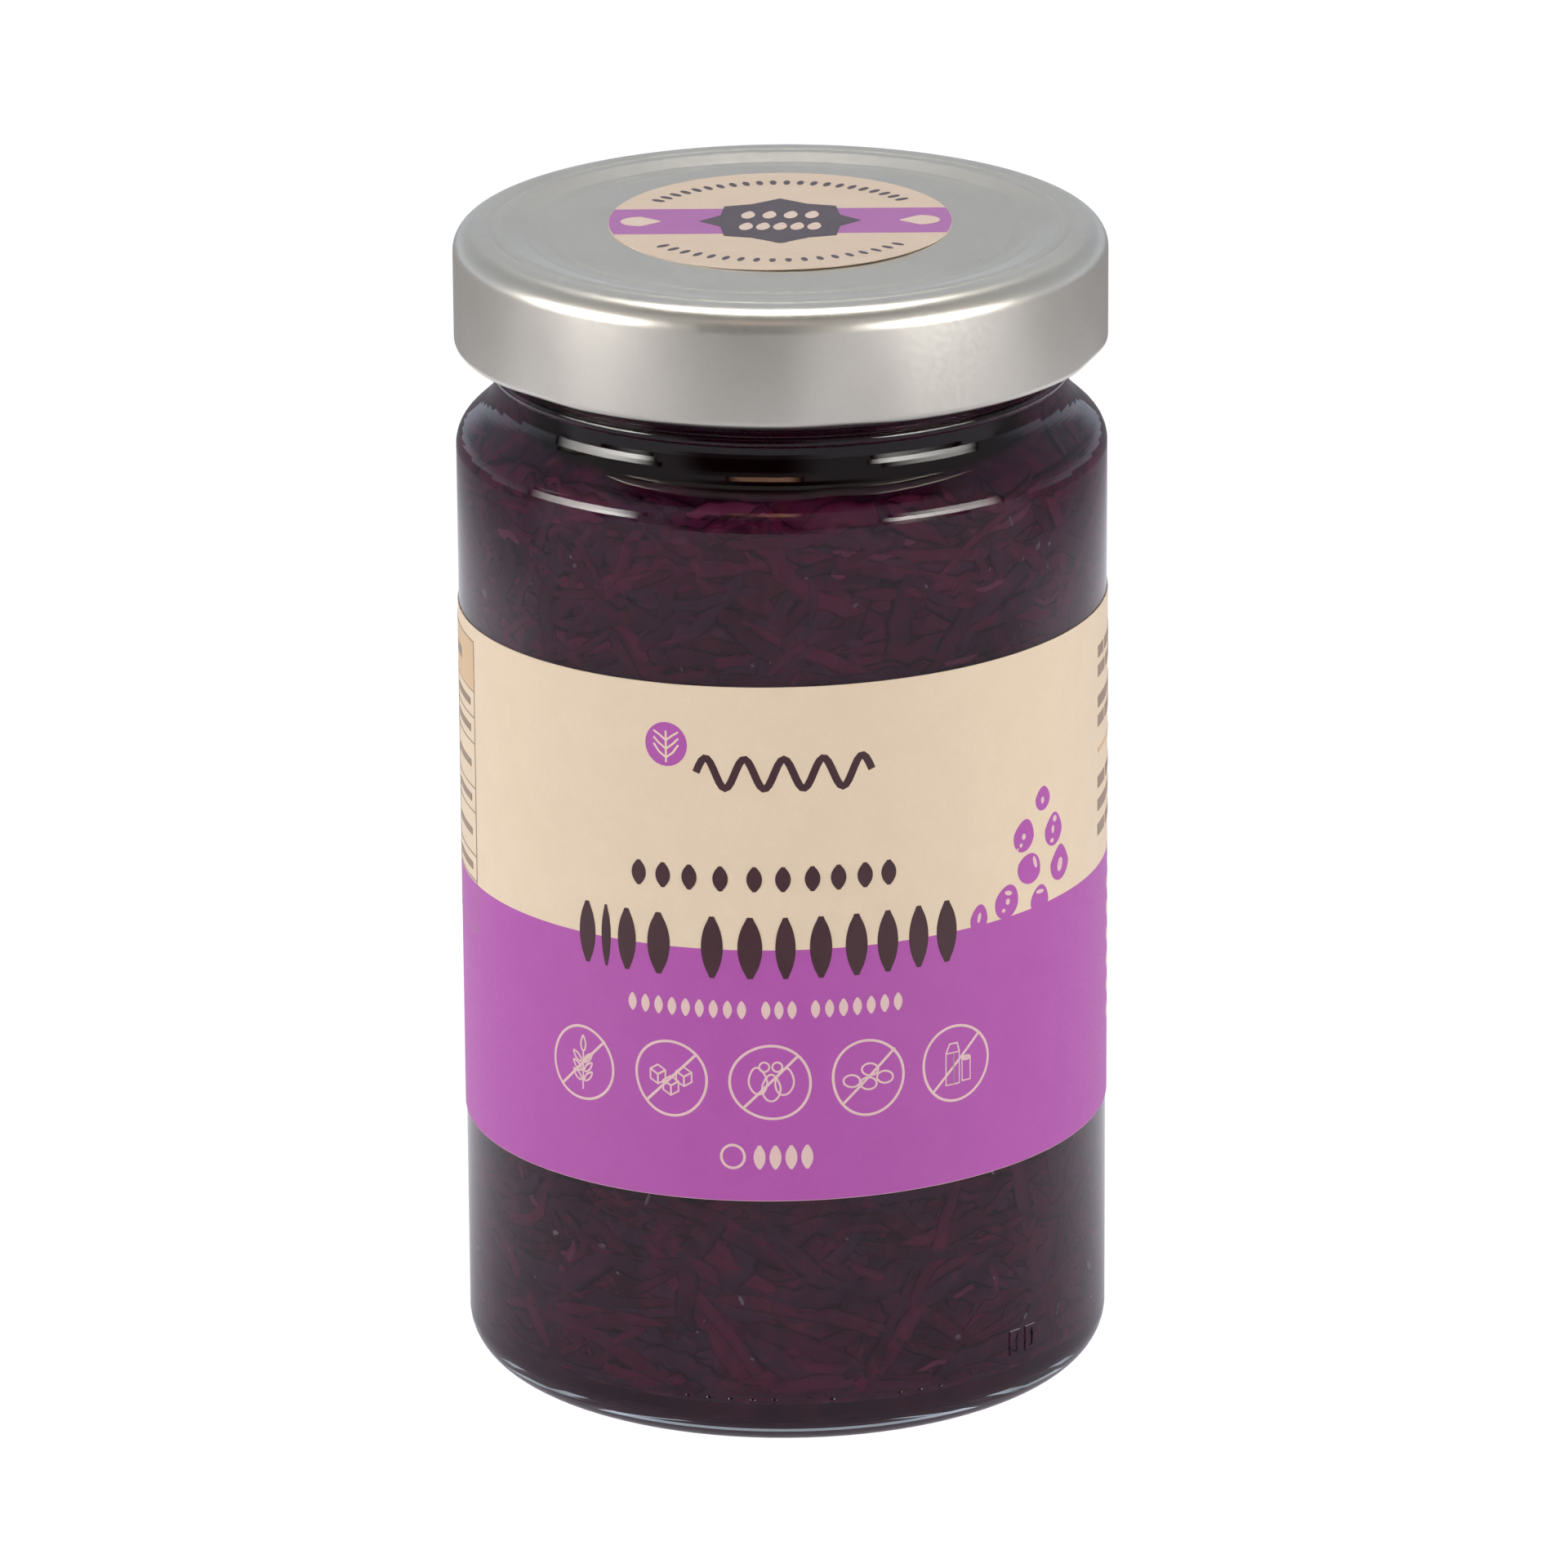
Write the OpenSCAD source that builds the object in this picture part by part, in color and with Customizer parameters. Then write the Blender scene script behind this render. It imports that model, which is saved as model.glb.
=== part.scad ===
// Grocery jar of shredded red cabbage in its brine: a straight glass jar with a wide
// neck, a deep twist-off tin lid, a paper label round the body and a paper seal on the lid.
// The origin is at the middle of the base, +Z is up and the label faces -Y.

/* [Glass body] */
// Outside diameter of the straight wall
body_d = 80.6; // [72:0.2:100]
// Height at which the straight wall starts to turn into the shoulder
body_h = 118.5; // [90:0.5:170]
// Thickness of the glass in the wall
wall_t = 2.4; // [1.6:0.1:4]
// Thickness of the glass in the floor, where it meets the wall
floor_t = 4.6; // [3.2:0.1:7]
// Radius of the outer edge at the foot
heel_r = 5.2; // [3:0.1:8]
// Radius of the inner edge at the foot
inner_heel_r = 4.2; // [3:0.1:8]
// Width of the flat ring that the jar stands on
bearing_w = 3; // [1:0.5:5]
// Height of the hollow under the base
push_up = 2; // [1:0.1:3]

/* [Shoulder and neck] */
// Angle of the shoulder's cone, measured from the wall
shoulder_angle = 48; // [35:1:60]
// Radius of the bend from the wall to the shoulder
shoulder_r = 4; // [2:0.1:5]
// Outside diameter of the neck
neck_d = 70.9; // [56:0.1:71]
// Radius of the hollow bend from the shoulder to the neck
neck_fillet_r = 5.2; // [2:0.1:6.4]
// Height of the straight neck, from the bend to the mould ridge
neck_h = 1.5; // [1:0.1:8]
// How far the mould ridge stands out of the neck
ridge_out = 0.4; // [0.2:0.05:0.6]
// Radius of the mould ridge's section
ridge_r = 0.8; // [0.65:0.05:1.4]
// Thickness of the glass in the neck
neck_t = 2.2; // [1.6:0.1:3]

/* [Finish] */
// Height of the finish, from the mould ridge to the rim
finish_h = 17.3; // [15:0.1:26]
// How far the finish stands out of the neck
finish_out = 1.2; // [0.6:0.1:2.4]
// How far each thread stands out of the finish
thread_out = 1.4; // [1:0.1:2.2]
// Height of each thread
thread_w = 2.2; // [1.6:0.1:3]
// Number of threads, one for each lug of the lid
thread_count = 6; // [4:1:8]
// Angle that one thread covers round the finish
thread_span = 38; // [20:1:42]
// Slope of a thread
thread_slope = 3; // [0:0.5:4]

/* [Lid] */
// Thickness of the tinplate
tin_t = 0.25; // [0.18:0.01:0.4]
// Depth of the lid from its top to its lower edge
lid_h = 14.5; // [11:0.1:17.6]
// Gap between the threads and the inside of the skirt
skirt_gap = 2.05; // [1.6:0.05:4]
// Radius of the rounded top edge
lid_edge_r = 2.8; // [1.5:0.1:4]
// Radius of the curl along the lower edge
curl_r = 0.95; // [0.7:0.05:1.2]
// Depth of the sunken panel below the outer ring
panel_drop = 0.6; // [0.3:0.05:1.2]
// Width of the slope from the outer ring down to the panel
panel_slope_w = 2.6; // [1.5:0.1:3.4]
// Distance from the rim's bore in to the edge of the flat panel
panel_gap = 1.6; // [0.4:0.1:4]
// How far a lug reaches in under its thread
lug_hold = 0.8; // [0.4:0.1:0.9]
// Height of a lug
lug_h = 1.3; // [0.8:0.1:1.4]
// Angle that one lug covers
lug_span = 12; // [8:1:18]
// Depth of the flat pressed into the lower edge over each lug
lug_press = 0.3; // [0.1:0.05:0.5]
// Turn of the first lug, to the right of the front
lug_turn = 12; // [0:1:59]
// Gap that the rim leaves under the lid and a thread's low end leaves over a lug
seat_gap = 0.05; // [0.02:0.01:0.2]

/* [Label and seal] */
// Height of the label
label_h = 66.2; // [50:0.2:80]
// Distance of the label's upper edge below the shoulder
label_top_gap = 19.3; // [4:0.1:30]
// Thickness of the label with its glue and print
label_t = 0.2; // [0.1:0.05:0.4]
// Width of the bare strip between the label's ends
label_gap_w = 14; // [6:1:40]
// Slant of the label round the jar
label_slant = 0.86; // [0:0.02:1.5]
// Width of the paper seal on the lid
seal_w = 42.4; // [20:0.2:50]
// Length of the seal from front to back
seal_l = 45.4; // [20:0.2:50]
// How far the seal sits behind the middle of the lid
seal_back = 3.2; // [0:0.1:5]
// Thickness of the paper seal with its print
seal_t = 0.2; // [0.1:0.05:0.3]

/* [Contents] */
// Free height between the contents and the rim
headspace = 3.2; // [1:0.1:3.8]
// Gap between the contents and the glass
fill_gap = 0.05; // [0.02:0.01:0.2]

/* [Foot marks] */
// Radius of each raised dot over the foot
dot_r = 0.6; // [0.4:0.05:0.9]
// How far each dot stands out of the wall
dot_out = 0.15; // [0.05:0.01:0.18]
// Angle from one dot to the next
dot_step = 3.9; // [2.5:0.1:5]
// Height of each raised oval at the right
oval_h = 3.2; // [2:0.1:5]
// Width of each raised oval
oval_w = 1.8; // [1.4:0.1:2.4]

/* [Hidden] */
$fn = 96;

body_r = body_d / 2;
neck_r = neck_d / 2;
bore_r = neck_r - neck_t;
finish_r = neck_r + finish_out;
thread_r = finish_r + thread_out;
lid_r = thread_r + skirt_gap + tin_t;

// The shoulder's cone runs straight from the wall's line to the neck's line.
cone_z = body_h + shoulder_r * tan(shoulder_angle / 2);
cone_h = (body_r - neck_r) / tan(shoulder_angle);
neck_z = cone_z + cone_h + neck_fillet_r * tan(shoulder_angle / 2);
ridge_z = neck_z + neck_h;
finish_z = ridge_z + ridge_r;
rim_z = ridge_z + finish_h;
fill_z = rim_z - headspace;

lid_top = rim_z + seat_gap + tin_t;
lid_bottom = lid_top - lid_h;
curl_top = lid_bottom + 2 * curl_r;
lug_z = lid_bottom + curl_r;
panel_r = bore_r - panel_gap;
panel_z = lid_top - panel_drop;

// A sloped thread dips at its low end, so its middle lies that much higher over its lug.
thread_dip = thread_r * sin(thread_span / 2) * sin(thread_slope);
thread_z = lug_z + lug_h / 2 + seat_gap + thread_w / 2 + thread_dip;

label_r = body_r + label_t;
label_z = body_h - label_top_gap - label_h / 2;
foot_mark_z = heel_r + 1.3;

// Number of chords for an arc, one for every 6 degrees
function steps(sweep) = max(2, ceil(abs(sweep) / 6));

// One corner c of an outline, rounded to radius r; p and n are the corners before and after it
function corner(p, c, n, r) =
    r == 0 ? [c] :
    let (
        u = (p - c) / norm(p - c),
        v = (n - c) / norm(n - c),
        half = acos(u * v) / 2,
        m = c + (u + v) / norm(u + v) * r / sin(half),
        a = c + u * r / tan(half) - m,
        b = c + v * r / tan(half) - m,
        start = atan2(a[1], a[0]),
        turn = atan2(b[1], b[0]) - start,
        sweep = turn > 180 ? turn - 360 : turn < -180 ? turn + 360 : turn
    )
    [for (i = [0:steps(sweep)])
        let (t = start + sweep * i / steps(sweep)) m + r * [cos(t), sin(t)]];

// An outline of [radius, height, rounding] corners, with each corner rounded
function rounded(c) =
    let (k = len(c), flat = [for (p = c) [p[0], p[1]]])
    [for (i = [0:k - 1])
        each corner(flat[(i + k - 1) % k], flat[i], flat[(i + 1) % k], c[i][2])];

// Height of the inner cone at radius r, when it lies depth inside the outer one
function cone_at(r, depth) =
    cone_z + (body_r - r) / tan(shoulder_angle) - depth / sin(shoulder_angle);

// The inside of the glass moved in by gap, from the top of the bore to the middle of the floor
function inside(top, gap) =
    let (bore = bore_r - gap, wall = body_r - wall_t - gap)
    [[bore, top, 0],
     [bore, cone_at(bore, wall_t + gap), neck_fillet_r + neck_t / 2],
     [wall, cone_at(wall, wall_t + gap), shoulder_r],
     [wall, floor_t + gap, inner_heel_r],
     [0, floor_t + gap + push_up / 4, 0]];

module dot(turn) {
    rotate([0, 0, turn])
        translate([0, dot_r - body_r - dot_out, foot_mark_z])
            sphere(r = dot_r, $fn = 24);
}

module oval(turn) {
    ring_w = dot_r * 0.8;
    rotate([0, 0, turn])
        translate([0, -body_r - dot_out, foot_mark_z + oval_h])
            rotate([-90, 0, 0])
                linear_extrude(wall_t / 2)
                    difference() {
                        square([oval_w, oval_h], center = true);
                        square([oval_w - 2 * ring_w, oval_h - 2 * ring_w], center = true);
                    }
}

module thread() {
    root_r = finish_r - neck_t / 2;
    rotate([0, thread_slope, 0])
        rotate([0, 0, -90 - thread_span / 2])
            rotate_extrude(angle = thread_span)
                polygon(rounded([
                    [root_r, -thread_w / 2, 0],
                    [thread_r, -thread_w / 2, thread_w / 3],
                    [thread_r, thread_w / 2, thread_w / 3],
                    [root_r, thread_w / 2, 0]]));
}

module jar() {
    outside = [
        [0, push_up, 0],
        [body_r - heel_r - bearing_w, 0, 0],
        [body_r, 0, heel_r],
        [body_r, cone_z, shoulder_r],
        [neck_r, cone_z + cone_h, neck_fillet_r],
        [neck_r, finish_z, 0],
        [finish_r, finish_z + finish_out, 0],
        [finish_r, rim_z, neck_t / 2],
        [bore_r, rim_z, neck_t / 2]];
    bore_down = [for (c = inside(rim_z, 0)) if (c[1] < rim_z) c];
    color([0.62, 0.68, 0.66, 0.35])
    union() {
        rotate_extrude()
            polygon(rounded(concat(outside, bore_down)));
        rotate_extrude()
            translate([neck_r + ridge_out - ridge_r, ridge_z])
                circle(r = ridge_r, $fn = 24);
        for (i = [0:thread_count - 1])
            rotate([0, 0, lug_turn + 360 / thread_count * i])
                translate([0, 0, thread_z])
                    thread();
        for (i = [-4.6:-0.6])
            dot(dot_step * i);
        dot(dot_step * 2);
        for (i = [5.2:7.2])
            dot(dot_step * i);
        for (i = [11.4:12.4])
            oval(dot_step * i);
    }
}

module contents() {
    color([0.27, 0.09, 0.17])
        rotate_extrude()
            polygon(rounded(concat([[0, fill_z, 0]], inside(fill_z, fill_gap))));
}

module lid() {
    slope_r = panel_r + panel_slope_w;
    skirt_r = lid_r - tin_t;
    curl_in = lid_r - 2 * curl_r;
    bend = panel_slope_w / 2;
    color([0.66, 0.65, 0.63])
    difference() {
        union() {
            rotate_extrude()
                polygon(rounded([
                    [0, panel_z, 0],
                    [panel_r, panel_z, bend],
                    [slope_r, lid_top, bend],
                    [lid_r, lid_top, lid_edge_r],
                    [lid_r, lid_bottom, curl_r * 0.95],
                    [curl_in, lid_bottom, curl_r * 0.95],
                    [curl_in, curl_top, curl_r * 0.95],
                    [skirt_r, curl_top, 0],
                    [skirt_r, lid_top - tin_t, lid_edge_r - tin_t],
                    [slope_r, lid_top - tin_t, bend],
                    [panel_r, panel_z - tin_t, bend],
                    [0, panel_z - tin_t, 0]]));
            for (i = [0:thread_count - 1])
                rotate([0, 0, lug_turn + 360 / thread_count * i - 90 - lug_span / 2])
                    translate([0, 0, lug_z])
                        rotate_extrude(angle = lug_span)
                            polygon(rounded([
                                [lid_r - curl_r, -lug_h / 2, 0],
                                [lid_r - curl_r, lug_h / 2, 0],
                                [thread_r - lug_hold, lug_h / 2, lug_h / 3],
                                [thread_r - lug_hold, -lug_h / 2, lug_h / 3]]));
        }
        for (i = [0:thread_count - 1])
            rotate([0, 0, lug_turn + 360 / thread_count * i])
                translate([-lid_r / 2, -lid_r - curl_r, lid_bottom - curl_r])
                    cube([lid_r, curl_r + lug_press, 2.6 * curl_r]);
    }
}

module label() {
    color([0.90, 0.82, 0.72])
    translate([0, 0, label_z])
        intersection() {
            difference() {
                cylinder(r = label_r, h = 2 * label_h, center = true);
                cylinder(r = body_r, h = 3 * label_h, center = true);
                translate([-label_gap_w / 2, 0, -label_h])
                    cube([label_gap_w, body_d, 2 * label_h]);
            }
            rotate([0, -label_slant, 0])
                cube([3 * body_r, 3 * body_r, label_h], center = true);
        }
}

module lid_sticker() {
    color([0.88, 0.77, 0.68])
        translate([0, seal_back, panel_z])
            linear_extrude(seal_t)
                polygon([for (i = [0:3:357]) [seal_w / 2 * cos(i), seal_l / 2 * sin(i)]]);
}

jar();
contents();
lid();
label();
lid_sticker();
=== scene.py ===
import math
import random

import bpy
import numpy as np
from mathutils import Euler, Matrix, Vector


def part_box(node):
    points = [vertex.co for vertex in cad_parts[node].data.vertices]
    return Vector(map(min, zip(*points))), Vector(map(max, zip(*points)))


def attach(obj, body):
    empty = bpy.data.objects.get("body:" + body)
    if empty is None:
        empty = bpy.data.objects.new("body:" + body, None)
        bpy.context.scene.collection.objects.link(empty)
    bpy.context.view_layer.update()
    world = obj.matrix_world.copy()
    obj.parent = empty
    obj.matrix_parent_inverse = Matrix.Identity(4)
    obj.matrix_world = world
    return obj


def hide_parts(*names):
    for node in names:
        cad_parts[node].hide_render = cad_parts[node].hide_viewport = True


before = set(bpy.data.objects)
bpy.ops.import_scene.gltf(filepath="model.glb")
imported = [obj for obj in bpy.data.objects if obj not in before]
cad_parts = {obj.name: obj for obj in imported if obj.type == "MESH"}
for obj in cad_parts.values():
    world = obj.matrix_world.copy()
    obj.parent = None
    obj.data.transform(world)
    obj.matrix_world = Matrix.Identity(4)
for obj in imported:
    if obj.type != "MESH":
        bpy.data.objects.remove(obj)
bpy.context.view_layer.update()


# Glass jar: a straight-sided preserving jar, blown in one piece from clear soda-lime glass that has a
# faint green cast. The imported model's own jar is kept, and its glass has the slight waviness of a
# moulded wall.

mm = 0.001
glass_ior = 1.5
glass_tint = (0.965, 0.985, 0.978, 1)
glass_tint_deep = (0.955, 0.981, 0.972, 1)
glass_roughness = 0
glass_wave_size = 26 * mm
glass_wave_depth = 0.012 * mm


class Link:
    """The output of a node, so that shader maths reads as Python."""

    def __init__(self, nodes, socket):
        self.nodes = nodes
        self.socket = socket

    def __add__(self, other):
        return self.nodes.maths("ADD", self, other)

    def __radd__(self, other):
        return self.nodes.maths("ADD", other, self)

    def __sub__(self, other):
        return self.nodes.maths("SUBTRACT", self, other)

    def __rsub__(self, other):
        return self.nodes.maths("SUBTRACT", other, self)

    def __mul__(self, other):
        return self.nodes.maths("MULTIPLY", self, other)

    def __rmul__(self, other):
        return self.nodes.maths("MULTIPLY", other, self)

    def __truediv__(self, other):
        return self.nodes.maths("DIVIDE", self, other)

    def __rtruediv__(self, other):
        return self.nodes.maths("DIVIDE", other, self)

    def __pow__(self, other):
        return self.nodes.maths("POWER", self, other)

    def __rpow__(self, other):
        return self.nodes.maths("POWER", other, self)


class Nodes:
    """A node tree and the one method that adds a node to it."""

    def __init__(self, tree):
        self.tree = tree
        self.tree.nodes.clear()

    def node(self, kind, settings=None, sockets=None, output=0):
        made = self.tree.nodes.new(kind)
        for setting, value in (settings or {}).items():
            if setting == "stops":
                self.set_stops(made.color_ramp, value)
            else:
                setattr(made, setting, value)
        for name, value in (sockets or {}).items():
            if isinstance(value, Link):
                self.tree.links.new(value.socket, made.inputs[name])
            else:
                made.inputs[name].default_value = value
        return Link(self, made.outputs[output])

    def set_stops(self, ramp, stops):
        while len(ramp.elements) < len(stops):
            ramp.elements.new(1)
        for element, (place, colour) in zip(ramp.elements, stops):
            element.position = place
            element.color = colour

    def maths(self, operation, first, second):
        return self.node("ShaderNodeMath", {"operation": operation}, {0: first, 1: second})

    def place(self):
        return self.node("ShaderNodeTexCoord", output="Object")

    def along(self, axis, vector=None):
        return self.node("ShaderNodeSeparateXYZ", None, {"Vector": vector or self.place()}, axis)

    def noise(self, size, detail=3, roughness=0.5, distortion=0):
        sockets = {"Vector": self.place(), "Scale": 1 / size, "Detail": detail}
        sockets["Roughness"] = roughness
        sockets["Distortion"] = distortion
        return self.node("ShaderNodeTexNoise", None, sockets, "Fac")

    def spread(self, value, low, high, to_low=0, to_high=1):
        """A smooth change from one value to another as the input goes from low to high."""
        sockets = {"Value": value, "From Min": low, "From Max": high, "To Min": to_low, "To Max": to_high}
        return self.node("ShaderNodeMapRange", {"interpolation_type": "SMOOTHSTEP"}, sockets)

    def blend(self, factor, first, second):
        return self.node("ShaderNodeMix", {"data_type": "RGBA"}, {0: factor, 6: first, 7: second}, 2)

    def blend_value(self, factor, first, second):
        return first * (1 - factor) + second * factor

    def bump(self, height, depth, strength=1):
        sockets = {"Height": height, "Distance": depth, "Strength": strength}
        return self.node("ShaderNodeBump", None, sockets)

    def surface(self, sockets):
        self.end(self.node("ShaderNodeBsdfPrincipled", None, sockets))

    def end(self, shader, kind="ShaderNodeOutputMaterial"):
        made = self.tree.nodes.new(kind)
        self.tree.links.new(shader.socket, made.inputs["Surface"])


def new_finish(name):
    finish = bpy.data.materials.new(name)
    finish.use_nodes = True
    return finish, Nodes(finish.node_tree)


def dress(piece, *finishes):
    piece.data.materials.clear()
    for finish in finishes:
        piece.data.materials.append(finish)


glass, nodes = new_finish("jar_glass")
wave = nodes.noise(glass_wave_size, 2)
nodes.surface({
    "Base Color": nodes.blend(nodes.spread(wave, 0.3, 0.7), glass_tint, glass_tint_deep),
    "Roughness": glass_roughness,
    "IOR": glass_ior,
    "Transmission Weight": 1,
    "Normal": nodes.bump(wave, glass_wave_depth),
})
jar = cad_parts["jar"]
dress(jar, glass)


# Cabbage and its brine: a wet, dark red-violet mass packed up to just under the rim. This core is the
# packed contents pushed out into the wall of the glass, so that no air shows between them. Its colour
# drifts between wine red, slate violet and near black. Under the shoulder in front it is painted near black
# as painted shade.

into_wall = 0.13 * mm
brine_dark = (0.042, 0.0060, 0.0200, 1)
brine_wine = (0.115, 0.0130, 0.0500, 1)
brine_slate = (0.052, 0.0190, 0.0500, 1)
brine_blush = (0.135, 0.0210, 0.0400, 1)
shoulder_shade_colour = (0.006, 0.0004, 0.0008, 1)
brine_specular = 0.02
drift_size = 12 * mm
patch_size = 6 * mm
blush_size = 4.4 * mm
grain_size = 3 * mm

# the painted shade under the shoulder in front: degrees round the jar from the front, and heights
shoulder_shade_left = -64
shoulder_shade_right = 60
shoulder_shade_fade = 6
shoulder_shade_ragged = 14
shoulder_shade_low = 121.3 * mm
shoulder_shade_high = 127.5 * mm
shoulder_shade_rise = 2.0 * mm


def only(piece):
    bpy.ops.object.select_all(action="DESELECT")
    piece.select_set(True)
    bpy.context.view_layer.objects.active = piece


def smooth(piece, angle=40):
    only(piece)
    bpy.ops.object.shade_smooth_by_angle(angle=math.radians(angle))


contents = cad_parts["contents"]
core = bpy.data.objects.new("cabbage_core", contents.data.copy())
bpy.context.collection.objects.link(core)
only(core)
bpy.ops.mesh.customdata_custom_splitnormals_clear()
bpy.ops.object.mode_set(mode="EDIT")
bpy.ops.mesh.select_all(action="SELECT")
bpy.ops.mesh.remove_doubles(threshold=0.001 * mm)
bpy.ops.transform.shrink_fatten(value=into_wall)
bpy.ops.object.mode_set(mode="OBJECT")
smooth(core)


def cabbage_colour(nodes):
    """The drifting colours of the pressed mass, shared by the core and the shreds on it."""
    drift = nodes.spread(nodes.noise(drift_size, 4, 0.6, 0.8), 0.34, 0.64)
    patch = nodes.spread(nodes.noise(patch_size, 5, 0.62, 1.6), 0.47, 0.62)
    blush = nodes.spread(nodes.noise(blush_size, 5, 0.6, 1.0), 0.52, 0.66)
    colour = nodes.blend(drift, brine_dark, brine_wine)
    colour = nodes.blend(patch * 0.8, colour, brine_slate)
    return nodes.blend(blush * 0.7, colour, brine_blush)


mass, nodes = new_finish("packed_cabbage")
grain = nodes.noise(grain_size, 4, 0.6)
colour = nodes.blend(nodes.spread(grain, 0.3, 0.7, 0.0, 0.4), cabbage_colour(nodes), brine_dark)
east = nodes.along("X")
north = nodes.along("Y")
up = nodes.along("Z")
# painted shade: the mass is painted near black under the shoulder in front, with a ragged lower edge that
# rises towards the sides
ragged = (nodes.noise(patch_size, 4, 0.6) - 0.5) * shoulder_shade_ragged
bearing = nodes.maths("ARCTAN2", east, 0 - north) * math.degrees(1) + ragged
shoulder_shade_start = nodes.spread(bearing, shoulder_shade_left - shoulder_shade_fade, shoulder_shade_left + shoulder_shade_fade)
shoulder_shade = shoulder_shade_start * nodes.spread(bearing, shoulder_shade_right - shoulder_shade_fade, shoulder_shade_right + shoulder_shade_fade, 1, 0)
low_edge = up - bearing * bearing * (shoulder_shade_rise / shoulder_shade_right ** 2)
shoulder_shade = shoulder_shade * nodes.spread(low_edge + ragged * 0.1 * mm, shoulder_shade_low - 1.0 * mm, shoulder_shade_low + 0.8 * mm)
shoulder_shade = shoulder_shade * nodes.spread(up, shoulder_shade_high, shoulder_shade_high + 1 * mm, 1, 0.6)
nodes.surface({
    "Base Color": nodes.blend(shoulder_shade, colour, shoulder_shade_colour),
    "Roughness": nodes.spread(grain, 0.3, 0.7, 0.4, 0.6),
    "Specular IOR Level": brine_specular,
})
dress(core, mass)
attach(core, "root")
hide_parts("contents")


# Cabbage shreds: strips of leaf and rib cut a couple of millimetres wide and pressed against the glass,
# mostly lying level, some standing. Each is a limp thin strip that tapers at its ends, curls its own way
# and lies over the mass. There are three sorts: wine-red leaf, slate-violet leaf and paler rib.

shred_rings = 8
shred_sides = 6
shred_foot = 6 * mm
shred_top = 141.5 * mm
shred_thickness = 0.26
level_share = 0.8
level_lean = 24
curl_spread = 0.9
edge_wave = 0.12
edge_wave_turn = 1.9
ripple = 0.08
ripple_turn = 0.55
twist = 0.05
lowered_scatter = 40
inside_radius = 37.9
end_sharpness = 5
narrowest_end = 0.05
wall_steps = 240
wall_reach = 220


def shred_pattern():
    """One straight shred of unit length, width and thickness, tapered at both ends."""
    bpy.ops.object.select_all(action="DESELECT")
    on_its_side = (0, math.pi / 2, 0)
    bpy.ops.mesh.primitive_cylinder_add(vertices=shred_sides, radius=0.5, depth=1, rotation=on_its_side)
    strip = bpy.context.object
    bpy.ops.object.transform_apply(location=False, rotation=True, scale=True)
    bpy.ops.object.mode_set(mode="EDIT")
    for ring in range(1, shred_rings):
        bpy.ops.mesh.select_all(action="SELECT")
        bpy.ops.mesh.bisect(plane_co=(ring / shred_rings - 0.5, 0, 0), plane_no=(1, 0, 0))
    bpy.ops.mesh.select_all(action="SELECT")
    bpy.ops.mesh.quads_convert_to_tris()
    bpy.ops.object.mode_set(mode="OBJECT")
    points = np.array([vertex.co[:] for vertex in strip.data.vertices])
    faces = np.array([face.vertices[:] for face in strip.data.polygons])
    bpy.data.objects.remove(strip)
    end_taper = np.sqrt(np.clip(1 - (2 * np.abs(points[:, 0])) ** end_sharpness, narrowest_end, 1))
    points[:, 1] *= end_taper
    points[:, 2] *= end_taper
    return points, faces


def read_wall():
    """Heights up the inside of the glass, and its radius at each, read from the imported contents."""
    skin = np.array([vertex.co[:] for vertex in contents.data.vertices])
    reach = np.hypot(skin[:, 0], skin[:, 1])
    order = np.argsort(skin[:, 2])
    levels = np.linspace(skin[order[0], 2], skin[order[-1], 2], wall_steps)
    edges = np.searchsorted(skin[order, 2], levels)
    outer = [reach[order[max(0, edge - wall_reach):edge + wall_reach]].max() for edge in edges]
    return levels, outer


def make_heap(name, point_groups, face_groups):
    """One piece from many small closed shapes, each with its faces outward."""
    mesh = bpy.data.meshes.new(name)
    mesh.from_pydata(np.concatenate(point_groups).tolist(), [], np.concatenate(face_groups).tolist())
    heap = bpy.data.objects.new(name, mesh)
    bpy.context.collection.objects.link(heap)
    only(heap)
    bpy.ops.object.mode_set(mode="EDIT")
    bpy.ops.mesh.select_all(action="SELECT")
    bpy.ops.mesh.normals_make_consistent(inside=False)
    bpy.ops.object.mode_set(mode="OBJECT")
    bpy.ops.object.shade_smooth()
    return heap


strip_points, strip_faces = shred_pattern()
wall_levels, wall_radii = read_wall()


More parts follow.
